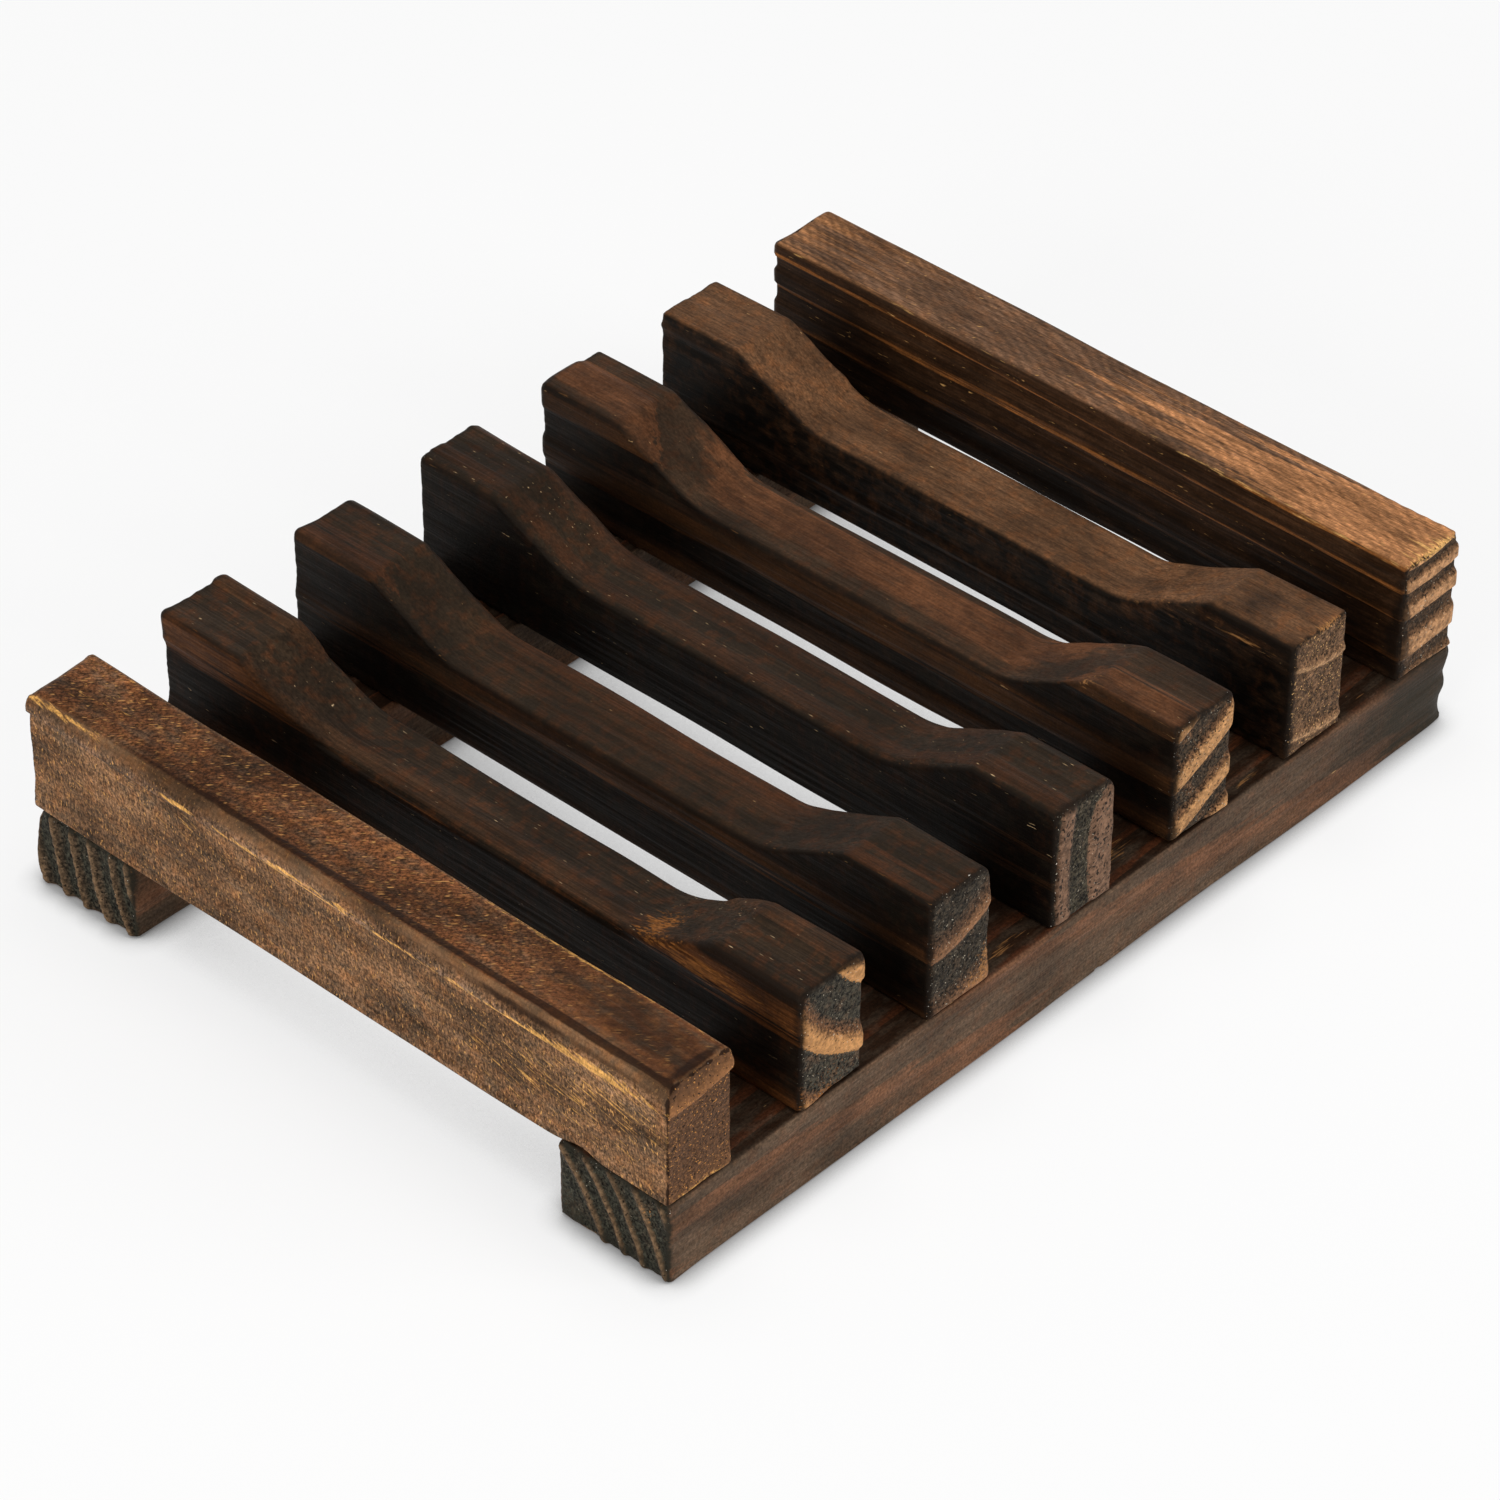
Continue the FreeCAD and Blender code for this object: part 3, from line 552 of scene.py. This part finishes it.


# The side colours of these slats are darker than their char alone. They are partly painted shade of the
# narrow gaps between the slats.
dished_slats = {
    "dished_slat_1": (
        {"pith": (12.86, 18.45), "ring_ends": (-6.0, 1.7, 9.1, 16.5, 23.6, 31.0), "drift": 0.012,
         "waver": 0.1, "late": (0.5, 0.78), "relief": (0.3, 0.35), "arris": (0.3, 0.3, 0.8, 0.9),
         "wear_soot_and_shade": [((0.0, -28.5, 10.2), (1.2, 3.5, 1.1), 1.0), ((0.0, -33.0, 10.2), (1.2, 3.5, 1.2), 0.75),
                  ((0.0, -39.0, 9.1), (1.2, 4.0, 1.2), 0.25), ((2.4, -22.6, 10.0), (2.8, 2.3, 2.4), 0.9),
                  # The two negative spots at x 0, just below the top, are painted shade: a dark band on the
                  # -X side under its top arris.
                  ((0.0, -37.5, 13.2), (0.8, 6.0, 0.8), -1.1), ((0.0, -31.0, 13.0), (0.7, 3.0, 0.7), -0.8),
                  ((3.0, -42.5, 0.4), (2.5, 0.8, 0.6), 0.6), ((4.5, -42.5, 2.2), (4.5, 0.8, 2.0), 0.35)]},
        {"end": ((52, 48, 40), (102, 70, 47), (186, 135, 85)),
         "side": ((18, 12, 8), (40, 24, 13), (80, 47, 23)), "top": ((42, 31, 21), (48, 34, 23), (60, 40, 25)),
         "patch": (28, 22, 16), "fibre": 0.4, "warm": (84, 46, 22), "warmth": (0.15, 0.4),
         "fleck": (222, 190, 146), "worn": (150, 94, 44)}),
    "dished_slat_2": (
        {"pith": (0.3, 22.3), "ring_ends": (0.5, 8.2, 15.8, 23.5, 31.0), "drift": -0.01, "waver": 0.1,
         "late": (0.52, 0.92), "relief": (0.15, 0.2), "arris": (0.3, 0.3, 0.8, 1.4),
         "wear_soot_and_shade": [((8.2, -42.5, 3.0), (1.2, 0.8, 2.2), 0.7), ((6.0, -42.5, 1.2), (3.0, 0.8, 1.2), 0.55)]},
        {"end": ((47, 41, 33), (76, 55, 40), (138, 98, 68)),
         "side": ((15, 10, 7), (32, 19, 11), (58, 35, 18)), "top": ((38, 28, 19), (46, 32, 20), (62, 37, 22)),
         "patch": (28, 23, 16), "flecks_from": (0.86, 0.87)}),
    "dished_slat_3": (
        {"pith": (62.0, 7.0), "ring_ends": (35.0, 46.0, 57.07, 61.8, 66.5), "drift": 0.01, "waver": 0.08,
         "late": (0.5, 0.64), "relief": (0.12, 0.18), "arris": (0.3, 0.3, 0.8, 1.6),
         "bends": [((9.0, -42.5, 14.5), (3.5, 60.0, 2.6), 3.0)]},
        {"end": ((52, 47, 37), (74, 57, 44), (114, 86, 67)), "pores_from": 0.64, "broken": 0.4,
         "side": ((12, 8, 6), (26, 16, 9), (42, 26, 15)), "top": ((38, 28, 19), (42, 30, 20), (52, 33, 21)),
         "patch": (28, 23, 16), "fleck": (222, 188, 140), "flecks_from": (0.85, 0.81)}),
    "dished_slat_4": (
        {"pith": (-12.4, 41.7), "ring_ends": (20.5, 26.4, 32.2, 38.0, 43.3, 47.0, 52.0), "drift": -0.012,
         "waver": 0.12, "late": (0.42, 0.64), "relief": (0.2, 0.3), "arris": (0.3, 0.3, 0.7, 0.7),
         "wear_soot_and_shade": [((0.8, -30.8, 13.8), (1.3, 0.8, 0.8), 0.6)]},
        {"end": ((54, 43, 32), (98, 69, 47), (180, 133, 87)), "blotch": 0.6, "broken": 0.3,
         "side": ((15, 10, 7), (34, 21, 13), (62, 38, 20)), "top": ((54, 39, 27), (66, 45, 30), (92, 58, 36)),
         "patch": (36, 28, 20), "pores_from": 0.68, "flecks_from": (0.86, 0.86)}),
    "dished_slat_5": (
        {"pith": (8.86, 30.9), "ring_ends": (6.0, 14.0, 22.0, 30.0, 38.0), "drift": 0.008, "waver": 0.12,
         "late": (0.78, 0.97), "relief": (0.25, 0.35), "arris": (0.3, 0.3, 0.7, 0.7),
         "wear_soot_and_shade": [((4.3, -31.2, 14.0), (4.5, 0.7, 0.6), 0.35), ((5.5, -42.3, 13.9), (3.0, 0.8, 0.6), 0.7),
                  ((3.0, -26.0, 12.0), (4.0, 4.0, 2.0), 0.3), ((3.5, -35.5, 14.1), (3.2, 3.0, 0.9), -0.55),
                  # The two negative spots at x 0 are painted shade: the end's -X edge, and a band on the -X
                  # side under its top arris.
                  ((0.0, -42.5, 6.0), (0.8, 1.2, 9.0), -1.0), ((0.0, -38.0, 13.4), (0.7, 6.0, 0.6), -1.1),
                  ((0.0, -36.5, 11.9), (0.7, 5.0, 0.35), 0.75)]},
        {"end": ((88, 65, 46), (112, 82, 58), (176, 136, 98)), "broken": 0.4, "grit": 0.75,
         "side": ((10, 7, 5), (19, 12, 8), (38, 24, 15)), "top": ((96, 67, 45), (104, 72, 48), (114, 78, 51)),
         "patch": (56, 40, 28), "warm": (112, 70, 40), "nap": 0.25, "rim": 0.6,
         "speck_and_glint": (222, 176, 116), "speck_and_glint_from": 0.73, "flecks_from": (0.85, 0.84)}),
}
for seed, (node, (wood, looks)) in enumerate(dished_slats.items()):
    slat = brushed_board(node, ALONG_Y, wood, 50 + 7 * seed, hollow=scoop)
    looks = {**charred_looks, **looks}
    slat.data.materials.append(charred_wood(node + "_charred", ALONG_Y, wood, looks, 5 + seed))
    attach(slat, "root")
    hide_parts(node)

# Brads: fourteen nails of flat drawn steel wire, one at each crossing, driven up through the rail into the
# slat and set a little below the rail's underside. Only their heads can be seen.
STEEL_DULL, STEEL_BRIGHT, STEEL_MARKS = (120, 116, 110), (196, 194, 190), 2600.0
brad_steel = bpy.data.materials.new("brad_steel_wire")
brad_steel.use_nodes = True
brad_tree = brad_steel.node_tree
brad_shader = brad_tree.nodes["Principled BSDF"]
brad_place = add(brad_tree, "TexCoord", {}).outputs["Object"]
brad_sockets = {"Vector": brad_place, "Scale": STEEL_MARKS, "Detail": 3.0}
brad_mark = add(brad_tree, "TexNoise", brad_sockets).outputs["Fac"]
brad_shader.inputs["Metallic"].default_value = 1.0
brad_colour = colour_line(brad_tree, brad_mark, [(0.3, paint(*STEEL_DULL)), (0.7, paint(*STEEL_BRIGHT))])
brad_tree.links.new(brad_colour, brad_shader.inputs["Base Color"])
brad_tree.links.new(spread(brad_tree, brad_mark, 0.3, 0.7, 0.5, 0.28), brad_shader.inputs["Roughness"])
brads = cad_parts["brads"]
brads.data.materials.clear()
brads.data.materials.append(brad_steel)

# Studio: a white floor, a white surround and three large soft lamps in front of, beside and above the tray.
# The floor glows a little where it is seen, so that it stays white. Ambient occlusion dims that glow close to
# and under the tray, a painted contact shadow and painted shade under the tray.
FLOOR_HALF, FLOOR_DROP = 1500.0, 0.02
FLOOR_WHITE, FLOOR_GLOW, SURROUND_LIGHT = 0.97, 0.75, 0.25
CONTACT_SHADOW, DEEP_SHADOW = 3.0, 30.0
TRAY_MIDDLE = Vector((0, 0, 12))


def in_sight(tree):
    """1 where a surface is seen by the camera, in a reflection or through glass, 0 where it only lights."""
    rays = add(tree, "LightPath", {}).outputs
    mirrored = maths(tree, "MAXIMUM", rays["Is Glossy Ray"], rays["Is Transmission Ray"])
    return maths(tree, "MAXIMUM", rays["Is Camera Ray"], mirrored)


floor_mesh = bpy.data.meshes.new("floor")
floor_corners = [(x * FLOOR_HALF * MM, y * FLOOR_HALF * MM, -FLOOR_DROP * MM)
                 for x, y in ((-1, -1), (1, -1), (1, 1), (-1, 1))]
floor_mesh.from_pydata(floor_corners, [], [(0, 1, 2, 3)])
floor = bpy.data.objects.new("floor", floor_mesh)
bpy.context.scene.collection.objects.link(floor)
floor_paint = bpy.data.materials.new("floor_white")
floor_paint.use_nodes = True
floor_tree = floor_paint.node_tree
floor_tree.nodes.remove(floor_tree.nodes["Principled BSDF"])
matt = add(floor_tree, "BsdfDiffuse", {"Color": (FLOOR_WHITE, FLOOR_WHITE, FLOOR_WHITE, 1.0)})
# Painted shadow: ambient occlusion within CONTACT_SHADOW and DEEP_SHADOW dims the floor's glow beside and
# under the tray.
beside, below = (add(floor_tree, "AmbientOcclusion", {"Distance": reach * MM}, samples=8).outputs["AO"]
                 for reach in (CONTACT_SHADOW, DEEP_SHADOW))
glow_with_painted_shadow = maths(floor_tree, "MULTIPLY", spread(floor_tree, beside, 0.5, 0.95, 0.3, 1.0),
                   spread(floor_tree, below, 0.1, 0.42, 0.3, 1.0))
glow = add(floor_tree, "Emission", {"Strength": glow_with_painted_shadow})
glow_share = maths(floor_tree, "MULTIPLY", in_sight(floor_tree), FLOOR_GLOW)
floor_look = add(floor_tree, "MixShader", {0: glow_share, 1: matt.outputs[0], 2: glow.outputs[0]})
floor_tree.links.new(floor_look.outputs[0], floor_tree.nodes["Material Output"].inputs["Surface"])
floor_mesh.materials.append(floor_paint)

world = bpy.data.worlds.new("surround")
world.use_nodes = True
world_tree = world.node_tree
backdrop = world_tree.nodes["Background"]
surround_level = spread(world_tree, in_sight(world_tree), 0.0, 1.0, SURROUND_LIGHT, 1.0)
world_tree.links.new(surround_level, backdrop.inputs["Strength"])
backdrop.inputs["Color"].default_value = (1.0, 1.0, 1.0, 1.0)
bpy.context.scene.world = world


def soft_lamp(name, place, size, watts):
    """A square lamp that faces the middle of the tray, place in millimetres."""
    lamp = bpy.data.lights.new(name, "AREA")
    lamp.size, lamp.energy = size * MM, watts
    made = bpy.data.objects.new(name, lamp)
    made.location = Vector(place) * MM
    made.rotation_euler = (TRAY_MIDDLE - Vector(place)).to_track_quat("-Z", "Y").to_euler()
    bpy.context.scene.collection.objects.link(made)


soft_lamp("front_lamp", (-820, -100, 250), 500, 4.4)
soft_lamp("side_lamp", (350, -730, 280), 500, 3.6)
soft_lamp("top_lamp", (60, 60, 900), 600, 3.4)

# Camera: a long lens at the photograph's own angle, found from the tray's edges.
EYE = Vector((-350.89, -321.32, 382.25))
SIGHT = Vector((0.5779249, 0.5302081, -0.6203888))
ROLL = 0.37
SENSOR, LENS = 36.0, 146.41
camera_data = bpy.data.cameras.new("camera")
camera_data.sensor_width, camera_data.lens = SENSOR, LENS
camera = bpy.data.objects.new("camera", camera_data)
camera.matrix_world = (Matrix.Translation(EYE * MM) @ SIGHT.to_track_quat("-Z", "Y").to_matrix().to_4x4()
                       @ Matrix.Rotation(np.radians(ROLL), 4, "Z"))
bpy.context.scene.collection.objects.link(camera)
bpy.context.scene.camera = camera
bpy.context.scene.view_settings.view_transform = "Standard"
